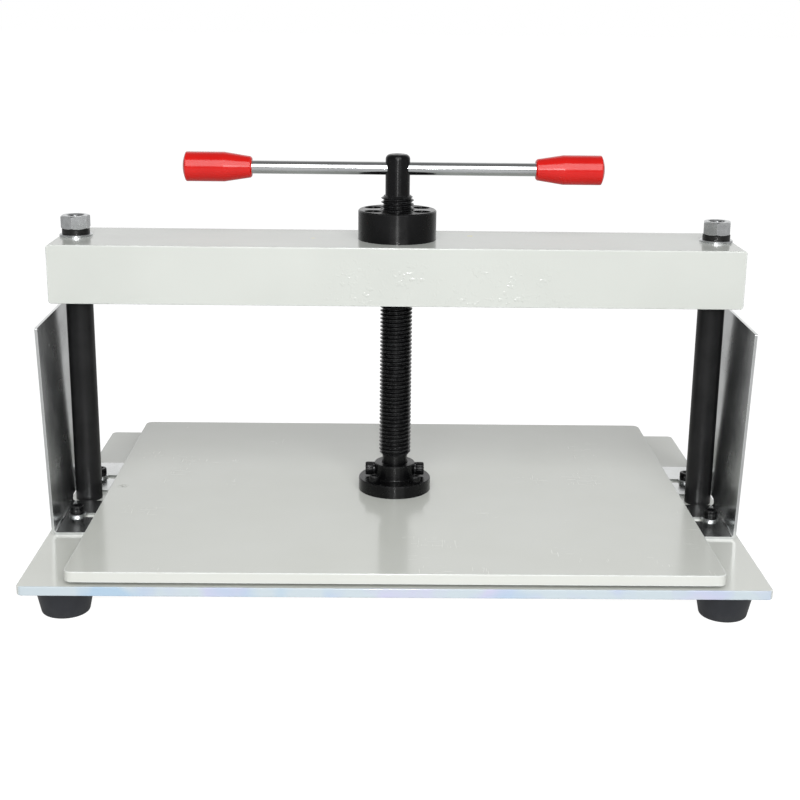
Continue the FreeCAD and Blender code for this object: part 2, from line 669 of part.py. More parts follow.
# ---------------------------------------------------------------- tommy bar
def grip():
    """Tapered grip standing on its narrow end, with a blind socket for the bar."""
    neck_r = GRIP_NECK_D / 2
    full_r = GRIP_D / 2
    edge = GRIP_EDGE_R
    body = turned([(0, 0), (neck_r - edge, 0), (neck_r, edge), (full_r, GRIP_TAPER),
                   (full_r, GRIP_LENGTH), (0, GRIP_LENGTH)])
    dome_r = (full_r ** 2 + GRIP_DOME ** 2) / (2 * GRIP_DOME)
    dome = Part.makeSphere(dome_r, Vector(0, 0, GRIP_LENGTH + GRIP_DOME - dome_r))
    cap = dome.common(cylinder(GRIP_D, GRIP_LENGTH - CUT, GRIP_LENGTH + 2 * GRIP_DOME))
    body = body.fuse(cap).removeSplitter()
    body = body.makeFillet(edge, rings(body, GRIP_D, GRIP_LENGTH))
    return body.cut(cylinder(BAR_D + 2 * SEAT_FIT, -CUT, GRIP_SOCKET_DEPTH))


def handle_grip(side):
    length = GRIP_LENGTH + GRIP_DOME
    body = grip()
    body.rotate(Vector(0, 0, 0), Vector(0, 1, 0), 90 * side)
    return at(body, BAR_OFFSET + side * (BAR_SPAN / 2 - length), 0, bar_z)


def handle_bar():
    grip_inner = BAR_SPAN / 2 - GRIP_LENGTH - GRIP_DOME
    half = grip_inner + GRIP_SOCKET_DEPTH - GRIP_SOCKET_GAP
    r = BAR_D / 2
    edge = BAR_EDGE_BREAK
    bar = turned([(0, -half), (r - edge, -half), (r, edge - half), (r, half - edge),
                  (r - edge, half), (0, half)])
    bar.rotate(Vector(0, 0, 0), Vector(0, 1, 0), 90)
    return at(bar, BAR_OFFSET, 0, bar_z)


# ---------------------------------------------------------------- build
os.makedirs("parts", exist_ok=True)

save("base_plate", base_plate())
for name, (x, y) in zip(("front_left", "front_right", "rear_left", "rear_right"), foot_places):
    save("rubber_foot_" + name, rubber_foot(x, y))
save("foot_washers", foot_washers())
save("foot_screws", foot_screws())

for name, side, turn, slit_turn in (("left", -1, LEFT_NUT_TURN, LEFT_SLIT_TURN),
                                    ("right", 1, RIGHT_NUT_TURN, RIGHT_SLIT_TURN)):
    save("pillar_" + name, pillar(side * pillar_x))
    save("flat_washer_" + name, flat_washer(side * pillar_x))
    save("spring_washer_" + name, spring_washer(side * pillar_x, slit_turn))
    save("hex_nut_" + name, hex_nut(side * pillar_x, turn))
save("pillar_bolts", pillar_bolts())
save("pillar_bolt_washers", pillar_bolt_washers())

right_bracket = side_bracket()
save("side_bracket_right", right_bracket)
save("side_bracket_left", mirrored(right_bracket))
save("bracket_screws", bracket_screws())
save("bracket_washers", bracket_washers())

save("crossbeam", crossbeam())
save("screw_nut", screw_nut())
save("screw_nut_bolts", screw_nut_bolts())

save("press_platen", press_platen())
save("spindle_flange", spindle_flange())
save("flange_bolts", flange_bolts())
save("retaining_screw_left", retaining_screw(-1))
save("retaining_screw_right", retaining_screw(1))
save("thrust_disc", thrust_disc())

save("spindle", spindle())
save("handle_bar", handle_bar())
save("handle_grip_left", handle_grip(-1))
save("handle_grip_right", handle_grip(1))
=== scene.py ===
from math import cos, pi, radians, sin

import bmesh
import bpy
from mathutils import Matrix, Vector


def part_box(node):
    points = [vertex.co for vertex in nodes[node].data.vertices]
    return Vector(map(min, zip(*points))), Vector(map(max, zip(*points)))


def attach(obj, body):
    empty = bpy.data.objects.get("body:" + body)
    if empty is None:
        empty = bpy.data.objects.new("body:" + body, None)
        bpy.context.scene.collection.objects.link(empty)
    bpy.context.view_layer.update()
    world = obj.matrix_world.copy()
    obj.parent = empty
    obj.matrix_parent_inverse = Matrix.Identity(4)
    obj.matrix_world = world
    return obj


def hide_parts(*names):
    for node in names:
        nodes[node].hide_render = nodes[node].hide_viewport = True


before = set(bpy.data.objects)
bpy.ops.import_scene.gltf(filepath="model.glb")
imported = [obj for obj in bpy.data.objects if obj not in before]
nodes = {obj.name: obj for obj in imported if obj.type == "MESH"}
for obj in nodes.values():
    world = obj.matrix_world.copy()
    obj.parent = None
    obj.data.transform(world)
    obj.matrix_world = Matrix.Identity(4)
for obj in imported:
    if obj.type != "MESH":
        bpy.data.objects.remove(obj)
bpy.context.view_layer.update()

# A bench screw press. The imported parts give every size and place, in metres: +Z up,
# -Y towards the operator. This script gives them their finishes, and remakes the
# socket screws with the knurling and sockets that show at close range.

MM = 0.001


# ---------------------------------------------------------------- finishes: tools
def linear(hex_colour):
    """An sRGB hex colour as the linear RGBA that shaders take."""
    parts = [int(hex_colour[i:i + 2], 16) / 255 for i in (1, 3, 5)]
    levels = [c / 12.92 if c <= 0.04045 else ((c + 0.055) / 1.055) ** 2.4 for c in parts]
    return (*levels, 1.0)


def add(tree, kind, inputs, **settings):
    """Adds a node with its settings. An input is a number, an sRGB hex colour or another
    node's output. Gives back the new node's outputs."""
    made = tree.nodes.new("ShaderNode" + kind)
    for key, value in settings.items():
        setattr(made, key, value)
    for socket, value in inputs.items():
        if isinstance(value, bpy.types.NodeSocket):
            tree.links.new(value, made.inputs[socket])
        else:
            made.inputs[socket].default_value = linear(value) if isinstance(value, str) else value
    return made.outputs


def metres(point):
    """A point given in millimetres, in metres."""
    return tuple(part * MM for part in point)


def start_finish(name):
    """An empty material, its node tree and the piece's own coordinates."""
    material = bpy.data.materials.new(name)
    material.use_nodes = True
    tree = material.node_tree
    tree.nodes.clear()
    return material, tree, add(tree, "TexCoord", {})["Object"]


def coat_with(tree, inputs):
    """Ends a finish with its Principled surface."""
    surface = add(tree, "BsdfPrincipled", inputs)["BSDF"]
    add(tree, "OutputMaterial", {"Surface": surface})


def cloud(tree, place, mm, low=0.3, high=0.7, detail=2.0, stretch=None):
    """Cloudy value from 0 to 1 with features this many millimetres across."""
    if stretch:
        place = add(tree, "Mapping", {"Vector": place, "Scale": stretch})[0]
    noise = add(tree, "TexNoise", {"Vector": place, "Scale": 1 / (mm * MM), "Detail": detail})[0]
    return add(tree, "MapRange", {"Value": noise, "From Min": low, "From Max": high})[0]


def along_edges(tree, mm, low, high):
    """Mask that is 1 on the rounded edges of a piece and 0 on its flats."""
    rounded = add(tree, "Bevel", {"Radius": mm * MM}, samples=4)[0]
    flat = add(tree, "NewGeometry", {})["Normal"]
    match = add(tree, "VectorMath", {0: rounded, 1: flat}, operation="DOT_PRODUCT")["Value"]
    return add(tree, "MapRange", {"Value": match, "From Min": high, "From Max": low})[0]


def close_to(tree, place, centre, inner_mm, outer_mm):
    """Mask that is 1 near a point and fades out."""
    away = add(tree, "VectorMath", {0: place, 1: centre}, operation="DISTANCE")["Value"]
    return add(tree, "MapRange", {"Value": away, "From Min": outer_mm * MM,
                                  "From Max": inner_mm * MM})[0]


# ---------------------------------------------------------------- finishes
# where the painted plates have their own marks and, on the base, a painted sheen, in millimetres
# from the origin
FRONT_SHEEN_STARTS, FRONT_SHEEN_FULL = -172.4, -173.2    # y, at the base's front edge
PEEL_FADES, PEEL_FULL = 226, 212                       # z, on the beam's front
PEEL_LEFT = (-75, -30)                                 # x, fading in
PEEL_RIGHT = (175, 90)                                 # x, fading out
PLATEN_CHIP = (-209.6, -1.5, 38.2)
# centre, size and hue of each
BEAM_SPECKS = (
    ((54.8, 16.5, 232), 3.0, "#D8CE7A"),
    ((-62, 0, 232), 2.4, "#D3CFA8"),
)


def enamel(name, main, second, edge_highlight_colour, gloss, marks):
    """Two-pack enamel sprayed on ground steel plate: a glossy pale grey skin that mirrors
    what stands on it, with faint uneven coats, a slow ripple, fine orange peel, and a
    brighter line along each edge, where the paint runs thinner and a highlight is painted
    on. Marks adds what one plate has of its own: real marks, and on the base a painted sheen."""
    material, tree, place = start_finish(name)
    coats = cloud(tree, place, 80)
    colour = add(tree, "Mix", {0: coats, 6: main, 7: second}, data_type="RGBA")[2]
    # painted highlight: a brighter line along each rounded edge, where the paint also runs thinner
    edge = add(tree, "Math", {0: along_edges(tree, 1.2, 0.90, 0.995),
                              1: cloud(tree, place, 9, 0.25, 0.5)}, operation="MULTIPLY")[0]
    colour = add(tree, "Mix", {0: edge, 6: colour, 7: edge_highlight_colour}, data_type="RGBA")[2]
    rough = add(tree, "MapRange", {"Value": cloud(tree, place, 30), "To Min": gloss,
                                   "To Max": gloss + 0.05})[0]
    ripple = add(tree, "Bump", {"Height": cloud(tree, place, 34, 0, 1, 1),
                                "Distance": 0.10 * MM, "Strength": 0.35})[0]
    # real orange peel is about 1 mm across; drawn 2.2 mm so that it shows
    peel = add(tree, "Bump", {"Height": cloud(tree, place, 2.2, 0, 1, 1),
                              "Distance": 0.02 * MM, "Strength": 0.5, "Normal": ripple})[0]
    colour, rough, normal = marks(tree, place, colour, rough, peel)
    coat_with(tree, {"Base Color": colour, "Roughness": rough, "Normal": normal, "IOR": 1.5})
    return material


def base_front_sheen(tree, place, colour, rough, normal):
    """Front edge of the base: a paler, cooler grey painted on as a sheen, with faint blue and
    violet patches of painted reflection."""
    y = add(tree, "SeparateXYZ", {0: place})["Y"]
    front = add(tree, "MapRange", {"Value": y, "From Min": FRONT_SHEEN_STARTS * MM,
                                   "From Max": FRONT_SHEEN_FULL * MM})[0]
    # painted reflection: faint blue and violet patches along the front edge
    sheen_patches = add(tree, "Math", {0: front, 1: cloud(tree, place, 34, 0.46, 0.60)},
                operation="MULTIPLY")[0]
    hue = add(tree, "Mix", {0: cloud(tree, place, 50, 0.4, 0.6), 6: "#A2B9CC", 7: "#B9BACF"},
              data_type="RGBA")[2]
    # painted sheen: the front edge tinted a paler, cooler grey
    pale = add(tree, "Mix", {0: front, 6: colour, 7: "#B7C2C8"}, data_type="RGBA")[2]
    colour = add(tree, "Mix", {0: sheen_patches, 6: pale, 7: hue}, data_type="RGBA")[2]
    return colour, rough, normal


def beam_marks(tree, place, colour, rough, normal):
    """Crossbeam: coarse sparse blobs of orange peel on the front, low and to the
    middle, and two small primer-coloured specks on top."""
    parts = add(tree, "SeparateXYZ", {0: place})
    low_down = add(tree, "MapRange", {"Value": parts["Z"], "From Min": PEEL_FADES * MM,
                                      "From Max": PEEL_FULL * MM})[0]
    from_left = add(tree, "MapRange", {"Value": parts["X"], "From Min": PEEL_LEFT[0] * MM,
                                       "From Max": PEEL_LEFT[1] * MM})[0]
    from_right = add(tree, "MapRange", {"Value": parts["X"], "From Min": PEEL_RIGHT[0] * MM,
                                        "From Max": PEEL_RIGHT[1] * MM})[0]
    where = add(tree, "Math", {0: from_left, 1: from_right}, operation="MULTIPLY")[0]
    where = add(tree, "Math", {0: where, 1: low_down}, operation="MULTIPLY")[0]
    where = add(tree, "Math", {0: where, 1: cloud(tree, place, 22, 0.40, 0.60)},
                operation="MULTIPLY")[0]
    blobs = add(tree, "Math", {0: cloud(tree, place, 3.4, 0.56, 0.70, 1), 1: where},
                operation="MULTIPLY")[0]
    normal = add(tree, "Bump", {"Height": blobs, "Distance": 0.25 * MM, "Strength": 0.8,
                                "Normal": normal})[0]
    for centre, size, hue in BEAM_SPECKS:
        speck = add(tree, "Math", {0: close_to(tree, place, metres(centre), 0.4 * size, size),
                                   1: cloud(tree, place, 1.5, 0.35, 0.55)}, operation="MULTIPLY")[0]
        colour = add(tree, "Mix", {0: speck, 6: colour, 7: hue}, data_type="RGBA")[2]
    return colour, rough, normal


def platen_marks(tree, place, colour, rough, normal):
    """Platen: work is slid on and off, so it has duller smears, hairline scratches both
    ways, and one chip through the paint near the left end."""
    smear = cloud(tree, place, 70, 0.42, 0.66, 3, (1, 0.35, 1))
    rough = add(tree, "Math", {0: smear, 1: 0.06, 2: rough}, operation="MULTIPLY_ADD")[0]
    lines = cloud(tree, place, 0.9, 0.62, 0.70, 2, (0.06, 1, 1))
    cross = cloud(tree, place, 0.9, 0.63, 0.70, 2, (1, 0.05, 1))
    scratch = add(tree, "Math", {0: lines, 1: cross}, operation="MAXIMUM")[0]
    scratch = add(tree, "Math", {0: scratch, 1: cloud(tree, place, 45, 0.5, 0.62)},
                  operation="MULTIPLY")[0]
    rough = add(tree, "Math", {0: scratch, 1: 0.10, 2: rough}, operation="MULTIPLY_ADD")[0]
    chip = add(tree, "Math", {0: close_to(tree, place, metres(PLATEN_CHIP), 1, 5),
                              1: cloud(tree, place, 1.6, 0.45, 0.55)}, operation="MULTIPLY")[0]
    colour = add(tree, "Mix", {0: chip, 6: colour, 7: "#8F8F88"}, data_type="RGBA")[2]
    return colour, rough, normal


def black_oxide(name, main, second, ring_mm, stretch, rough, worn, drawn_out=None):
    """Turned or drawn steel, hot-blackened and oiled. The oxide is nearly black with little
    mirror of its own, and corners are rubbed to dull grey. On a piece turned about the
    spindle's axis, tool rings draw each light out into a thin line up its side."""
    material, tree, place = start_finish(name)
    bloom = cloud(tree, place, 14, 0.4, 0.7, 4)
    colour = add(tree, "Mix", {0: bloom, 6: main, 7: second}, data_type="RGBA")[2]
    rubbed = add(tree, "Math", {0: along_edges(tree, 0.5, 0.86, 0.985),
                                1: cloud(tree, place, 3, 0.35, 0.62, 3)}, operation="MULTIPLY")[0]
    rubbed = add(tree, "Math", {0: rubbed, 1: worn}, operation="MULTIPLY")[0]
    colour = add(tree, "Mix", {0: rubbed, 6: colour, 7: "#5B5C5E"}, data_type="RGBA")[2]
    satin = add(tree, "MapRange", {"Value": cloud(tree, place, 8), "To Min": rough,
                                   "To Max": rough + 0.08})[0]
    rings = cloud(tree, place, ring_mm, 0.0, 1.0, 2, stretch)
    normal = add(tree, "Bump", {"Height": rings, "Distance": 0.02 * MM, "Strength": 0.35})[0]
    skin = {"Base Color": colour, "Roughness": satin, "Normal": normal, "IOR": 1.32}
    if drawn_out:
        skin["Tangent"] = add(tree, "Tangent", {}, direction_type="RADIAL", axis="Z")[0]
        skin["Anisotropic"] = drawn_out
        skin["Anisotropic Rotation"] = 0.25
    coat_with(tree, skin)
    return material


def rolled_sheet():
    """Bright cold-rolled steel sheet: a smeared mirror with faint upright rolling lines, a
    few soft handling smudges, and bright sheared edges."""
    material, tree, place = start_finish("rolled_sheet")
    smudge = cloud(tree, place, 26, 0.40, 0.70, 3)
    lines = cloud(tree, place, 1.2, 0.2, 0.8, 2, (1, 1, 0.02))
    colour = add(tree, "Mix", {0: smudge, 6: "#D2D4D4", 7: "#C4C6C5"}, data_type="RGBA")[2]
    colour = add(tree, "Mix", {0: along_edges(tree, 0.6, 0.84, 0.98), 6: colour, 7: "#F2F4F4"},
                 data_type="RGBA")[2]
    rough = add(tree, "MapRange", {"Value": smudge, "To Min": 0.21, "To Max": 0.28})[0]
    wave = add(tree, "Bump", {"Height": cloud(tree, place, 60, 0, 1, 1), "Distance": 0.4 * MM,
                              "Strength": 0.2})[0]
    normal = add(tree, "Bump", {"Height": lines, "Distance": 0.004 * MM, "Strength": 0.3,
                                "Normal": wave})[0]
    coat_with(tree, {"Base Color": colour, "Roughness": rough, "Normal": normal, "Metallic": 1.0})
    return material


def zinc_plate():
    """Bright zinc plate on forged nuts and stamped washers: pale, slightly milky grey, with
    a fine mottle and brighter rubbed corners."""
    material, tree, place = start_finish("zinc_plate")
    mottle = cloud(tree, place, 3, 0.35, 0.65, 3)
    colour = add(tree, "Mix", {0: mottle, 6: "#CDCFD0", 7: "#BCBEBF"}, data_type="RGBA")[2]
    colour = add(tree, "Mix", {0: along_edges(tree, 0.6, 0.85, 0.98), 6: colour, 7: "#EEF0F1"},
                 data_type="RGBA")[2]
    rough = add(tree, "MapRange", {"Value": mottle, "To Min": 0.24, "To Max": 0.32})[0]
    normal = add(tree, "Bump", {"Height": cloud(tree, place, 1.2, 0, 1, 2), "Distance": 0.01 * MM,
                                "Strength": 0.3})[0]
    coat_with(tree, {"Base Color": colour, "Roughness": rough, "Normal": normal, "Metallic": 1.0})
    return material


def spring_steel():
    """Tempered, blackened spring wire: near black and satin, with drawn lines round the
    coil."""
    material, tree, place = start_finish("spring_steel")
    colour = add(tree, "Mix", {0: cloud(tree, place, 2.5, 0.35, 0.7, 3), 6: "#0B0B0B",
                               7: "#171716"}, data_type="RGBA")[2]
    rough = add(tree, "MapRange", {"Value": cloud(tree, place, 4), "To Min": 0.28,
                                   "To Max": 0.42})[0]
    normal = add(tree, "Bump", {"Height": cloud(tree, place, 0.5, 0, 1, 2, (0.1, 0.1, 1)),
                                "Distance": 0.015 * MM, "Strength": 0.4})[0]
    coat_with(tree, {"Base Color": colour, "Roughness": rough, "Normal": normal, "IOR": 1.4})
    return material


def polished_steel():
    """Centreless-ground and polished steel bar: a near mirror, so it shows the room in long
    bright and dark stripes, with faint rings and a few handling smears."""
    material, tree, place = start_finish("polished_steel")
    smear = cloud(tree, place, 14, 0.42, 0.7, 3, (0.4, 1, 1))
    colour = add(tree, "Mix", {0: smear, 6: "#C6C8C9", 7: "#B2B4B5"}, data_type="RGBA")[2]
    rough = add(tree, "MapRange", {"Value": smear, "To Min": 0.10, "To Max": 0.17})[0]
    ground = cloud(tree, place, 0.5, 0, 1, 2, (1, 0.05, 0.05))
    normal = add(tree, "Bump", {"Height": ground, "Distance": 0.002 * MM, "Strength": 0.3})[0]
    coat_with(tree, {"Base Color": colour, "Roughness": rough, "Normal": normal, "Metallic": 1.0})
    return material


def moulded_red():
    """Injection-moulded ABS from a polished mould: strong glossy red with a tight highlight,
    a lighter red highlight painted along its rounded edges, very shallow sink marks and
    hairline scratches along the grip."""
    material, tree, place = start_finish("moulded_red_abs")
    colour = add(tree, "Mix", {0: cloud(tree, place, 18), 6: "#BE0B05", 7: "#C51009"},
                 data_type="RGBA")[2]
    # painted highlight: a lighter red along the grip's rounded edges
    colour = add(tree, "Mix", {0: along_edges(tree, 0.4, 0.86, 0.985), 6: colour, 7: "#EC4A3C"},
                 data_type="RGBA")[2]
    hair = cloud(tree, place, 0.6, 0.60, 0.70, 2, (0.05, 1, 1))
    rough = add(tree, "MapRange", {"Value": hair, "To Min": 0.16, "To Max": 0.30})[0]
    normal = add(tree, "Bump", {"Height": cloud(tree, place, 9, 0, 1, 1), "Distance": 0.06 * MM,
                                "Strength": 0.25})[0]
    coat_with(tree, {"Base Color": colour, "Roughness": rough, "Normal": normal, "IOR": 1.48})
    return material


def moulded_rubber():
    """Black moulded rubber: matt, finely grained, with a grey bloom of dust low down where
    the foot meets the bench."""
    material, tree, place = start_finish("moulded_rubber")
    height = add(tree, "SeparateXYZ", {0: place})["Z"]
    low_down = add(tree, "MapRange", {"Value": height, "From Min": 9 * MM, "From Max": 0.0})[0]
    dust = add(tree, "Math", {0: low_down, 1: cloud(tree, place, 5, 0.3, 0.7, 5)},
               operation="MULTIPLY")[0]
    colour = add(tree, "Mix", {0: cloud(tree, place, 10), 6: "#1E2025", 7: "#25272C"},
                 data_type="RGBA")[2]
    colour = add(tree, "Mix", {0: dust, 6: colour, 7: "#303233"}, data_type="RGBA")[2]
    rough = add(tree, "MapRange", {"Value": dust, "To Min": 0.50, "To Max": 0.75})[0]
    normal = add(tree, "Bump", {"Height": cloud(tree, place, 0.8, 0, 1, 3), "Distance": 0.04 * MM,
                                "Strength": 0.5})[0]
    coat_with(tree, {"Base Color": colour, "Roughness": rough, "Normal": normal, "IOR": 1.45})
    return material


def turned_bronze():
    """Turned phosphor bronze: warm brown-gold with fine facing rings and an oily dark bloom."""
    material, tree, place = start_finish("turned_bronze")
    colour = add(tree, "Mix", {0: cloud(tree, place, 5, 0.35, 0.7, 4), 6: "#B98A4A", 7: "#7F5C31"},
                 data_type="RGBA")[2]
    rough = add(tree, "MapRange", {"Value": cloud(tree, place, 3), "To Min": 0.28,
                                   "To Max": 0.42})[0]
    normal = add(tree, "Bump", {"Height": cloud(tree, place, 0.4, 0, 1, 2, (1, 1, 0.1)),
                                "Distance": 0.01 * MM, "Strength": 0.4})[0]
    coat_with(tree, {"Base Color": colour, "Roughness": rough, "Normal": normal, "Metallic": 1.0})
    return material


round_z = (0.05, 0.05, 1)    # draws a pattern out into rings about the upright axis
oxide = ("#070708", "#0E0E0F")
# the third colour of each enamel is its brighter edge line, a painted highlight over thinner paint
finish = {
    "base": enamel("base_enamel", "#C8CAC4", "#CDCFCA", "#E4E9E9", 0.12, base_front_sheen),
    "beam": enamel("beam_enamel", "#BDC0BB", "#C2C5C0", "#E0E4E3", 0.16, beam_marks),
    "platen": enamel("platen_enamel", "#C7C9C3", "#CBCDC8", "#DDE2E2", 0.12, platen_marks),
    "oxide_turned": black_oxide("black_oxide_turned", *oxide, 0.5, round_z, 0.22, 0.5, 0.92),
    "oxide_drawn": black_oxide("black_oxide_drawn", "#161617", "#1D1D1E", 2.5, round_z, 0.30, 0.3),
    "oxide_screws": black_oxide("black_oxide_screws", *oxide, 0.6, round_z, 0.22, 0.5),
    "sheet": rolled_sheet(),
    "zinc": zinc_plate(),
    "spring": spring_steel(),
    "bar": polished_steel(),
    "red": moulded_red(),
    "rubber": moulded_rubber(),
    "bronze": turned_bronze(),
}

wears = {
    "base": ("base_plate",),
    "beam": ("crossbeam",),
    "platen": ("press_platen",),
    "oxide_turned": ("spindle", "spindle_flange", "screw_nut"),
    "oxide_drawn": ("pillar_left", "pillar_right"),
    "oxide_screws": ("screw_nut_bolts", "flange_bolts", "bracket_screws", "retaining_screw_left",
                     "retaining_screw_right"),
    "sheet": ("side_bracket_left", "side_bracket_right"),
    "zinc": ("hex_nut_left", "hex_nut_right", "flat_washer_left", "flat_washer_right",
             "pillar_bolts", "pillar_bolt_washers", "foot_washers", "foot_screws",
             "bracket_washers"),
    "spring": ("spring_washer_left", "spring_washer_right"),
    "bar": ("handle_bar",),
    "red": ("handle_grip_left", "handle_grip_right"),
    "rubber": ("rubber_foot_front_left", "rubber_foot_front_right", "rubber_foot_rear_left",
               "rubber_foot_rear_right"),
    "bronze": ("thrust_disc",),
}
for key, names in wears.items():
    for name in names:
        nodes[name].data.materials.clear()
        nodes[name].data.materials.append(finish[key])


# ---------------------------------------------------------------- pieces: tools
def nothing_selected():
    if bpy.context.object and bpy.context.object.mode == "EDIT":
        bpy.ops.object.mode_set(mode="OBJECT")
    bpy.ops.object.select_all(action="DESELECT")


def only(piece):
    """Makes this piece the one selected and active."""
    nothing_selected()
    piece.select_set(True)
    bpy.context.view_layer.objects.active = piece


def pick(piece, kind, test):
    """Selects, in edit mode, the vertices or faces whose middle passes the test."""
    bpy.ops.mesh.select_mode(type=kind)
    bpy.ops.mesh.select_all(action="DESELECT")
    mesh = bmesh.from_edit_mesh(piece.data)
    for item in mesh.verts if kind == "VERT" else mesh.faces:
        if test(item.co if kind == "VERT" else item.calc_center_median()):
            item.select_set(True)
    bmesh.update_edit_mesh(piece.data)


def done():
    """Leaves edit mode with normals outward, the origin at zero and crisp edges kept."""
    bpy.ops.mesh.select_all(action="SELECT")
    bpy.ops.mesh.remove_doubles(threshold=1e-7)
    bpy.ops.mesh.normals_make_consistent(inside=False)
    bpy.ops.object.mode_set(mode="OBJECT")
    bpy.ops.object.transform_apply(location=True, rotation=True, scale=True)
    bpy.ops.object.shade_smooth_by_angle(angle=radians(35))


def cut_away(piece, tool):
    """Takes the tool's shape out of the piece and removes the tool."""
    only(piece)
    cutter = piece.modifiers.new("cut", "BOOLEAN")
    cutter.operation = "DIFFERENCE"
    cutter.solver = "EXACT"
    cutter.object = tool
    bpy.ops.object.modifier_apply(modifier=cutter.name)
    bpy.data.objects.remove(tool)


# ---------------------------------------------------------------- socket screws
# proportions of a cap screw: head height is the thread's diameter
HEAD_D_RATIO, HEAD_D_EXTRA = 1.5, 1        # head's diameter from the thread's, mm
SOCKET_RATIO, SOCKET_EXTRA = 0.8, 0.2      # socket's width across flats, mm
UNDER_RIM = 0.12                           # bottom bevel, in head heights
BELOW_TOP = 0.84                           # where the knurling stops, in head heights
KNURL_SINK = 0.955                         # radius of a groove against a ridge's
RIM_STEP = (1 - BELOW_TOP) / 2             # height of each of the two steps of the top rim
RIM_WIDTHS = (0.975, 0.90)                 # how far each of them draws in
UNDER_WIDTH = 0.93                         # how far the bottom bevel draws in
HAIR = 0.01                                # margin when a face is picked by its height
M5, M6 = 5, 6
M5_HEAD_R = (HEAD_D_RATIO * M5 + HEAD_D_EXTRA) / 2 * MM
M6_HEAD_R = (HEAD_D_RATIO * M6 + HEAD_D_EXTRA) / 2 * MM
M5_TEETH, M6_TEETH = 18, 20


def socket_screw(thread_d, length, teeth):
    """Cap screw with its head standing on z = 0: straight-knurled sides, a rolled top
    rim and a hexagon socket. Sizes follow the thread, as on the real ones."""
    head_r = (HEAD_D_RATIO * thread_d + HEAD_D_EXTRA) / 2 * MM
    height = thread_d * MM
    socket_r = (SOCKET_RATIO * thread_d + SOCKET_EXTRA) / 2 / cos(pi / 6) * MM
    step = 2 * pi / (4 * teeth)

    def in_groove(co):
        place = round(Vector((co.y, co.x)).angle_signed(Vector((0, 1)), 0) / step)
        return place % 4 in (0, 1)

    nothing_selected()
    bpy.ops.mesh.primitive_cylinder_add(vertices=4 * teeth, radius=head_r,
                                        depth=(BELOW_TOP - UNDER_RIM) * height,
                                        location=(0, 0, (BELOW_TOP + UNDER_RIM) / 2 * height))
    screw = bpy.context.object
    bpy.ops.object.transform_apply(location=True)
    bpy.ops.object.mode_set(mode="EDIT")
    pick(screw, "VERT", in_groove)
    bpy.ops.transform.resize(value=(KNURL_SINK, KNURL_SINK, 1), center_override=(0, 0, 0))
    pick(screw, "FACE", lambda co: co.z > (BELOW_TOP - HAIR) * height)
    for width in RIM_WIDTHS:
        bpy.ops.mesh.extrude_region_move(TRANSFORM_OT_translate={
            "value": (0, 0, RIM_STEP * height)})
        bpy.ops.transform.resize(value=(width, width, 1), center_override=(0, 0, 0))
    pick(screw, "FACE", lambda co: co.z < (UNDER_RIM + HAIR) * height)
    bpy.ops.mesh.extrude_region_move(TRANSFORM_OT_translate={"value": (0, 0, -UNDER_RIM * height)})
    bpy.ops.transform.resize(value=(UNDER_WIDTH, UNDER_WIDTH, 1), center_override=(0, 0, 0))
    bpy.ops.mesh.inset(thickness=head_r * UNDER_WIDTH - thread_d / 2 * MM)
    bpy.ops.mesh.extrude_region_move(TRANSFORM_OT_translate={"value": (0, 0, -length * MM)})
    done()
    nothing_selected()
    bpy.ops.mesh.primitive_cylinder_add(vertices=6, radius=socket_r, depth=height,
                                        location=(0, 0, height), rotation=(0, 0, radians(30)))
    cut_away(screw, bpy.context.object)
    return screw


def place_screws(master, node, body, places):
    """Copies of one screw at the given places, standing for a CAD node."""
    for i, place in enumerate(places):
        made = master.copy()
        made.data = master.data.copy()
        made.name = made.data.name = f"{node}_{i + 1}"
        bpy.context.scene.collection.objects.link(made)
        made.data.transform(place)
        made.data.materials.append(finish["oxide_screws"])
        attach(made, body)
        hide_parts(node)
    bpy.data.objects.remove(master)


def ring_places(count, radius, z, spin):
    """Upright places evenly round the spindle, each turned a little differently."""
    return [Matrix.Rotation(2 * pi * (i + 0.5) / count, 4, "Z") @ Matrix.Translation((radius, 0, z))
            @ Matrix.Rotation(spin * (i + 1), 4, "Z") for i in range(count)]


low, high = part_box("screw_nut_bolts")
place_screws(socket_screw(M6, (high.z - low.z) / MM - M6, M6_TEETH), "screw_nut_bolts", "frame",
             ring_places(6, (high.x - M6_HEAD_R) / cos(pi / 6), high.z - M6 * MM, 0.7))

low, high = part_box("flange_bolts")
place_screws(socket_screw(M5, (high.z - low.z) / MM - M5, M5_TEETH), "flange_bolts", "platen",
             ring_places(4, (high.x - M5_HEAD_R) / cos(pi / 4), high.z - M5 * MM, 1.1))

low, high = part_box("bracket_screws")
corners = [(side * (high.x - M6_HEAD_R), end * (high.y - M6_HEAD_R))
           for side in (-1, 1) for end in (-1, 1)]
place_screws(socket_screw(M6, (high.z - low.z) / MM - M6, M6_TEETH), "bracket_screws", "frame",
             [Matrix.Translation((x, y, high.z - M6 * MM)) @ Matrix.Rotation(0.4 + 0.9 * i, 4, "Z")
              for i, (x, y) in enumerate(corners)])

DOG_POINT = 2.6    # mm, the plain end of each retaining screw, hidden in the hub
for side, node in ((-1, "retaining_screw_left"), (1, "retaining_screw_right")):
    low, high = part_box(node)
    seat = max(abs(low.x), abs(high.x)) - M6 * MM
    inner = min(abs(low.x), abs(high.x))
    place = (Matrix.Translation((side * seat, 0, (low.z + high.z) / 2))
             @ Matrix.Rotation(side * pi / 2, 4, "Y") @ Matrix.Rotation(0.3, 4, "Z"))
    screw = socket_screw(M6, (seat - inner) / MM - DOG_POINT, M6_TEETH)
    place_screws(screw, node, "platen", [place])


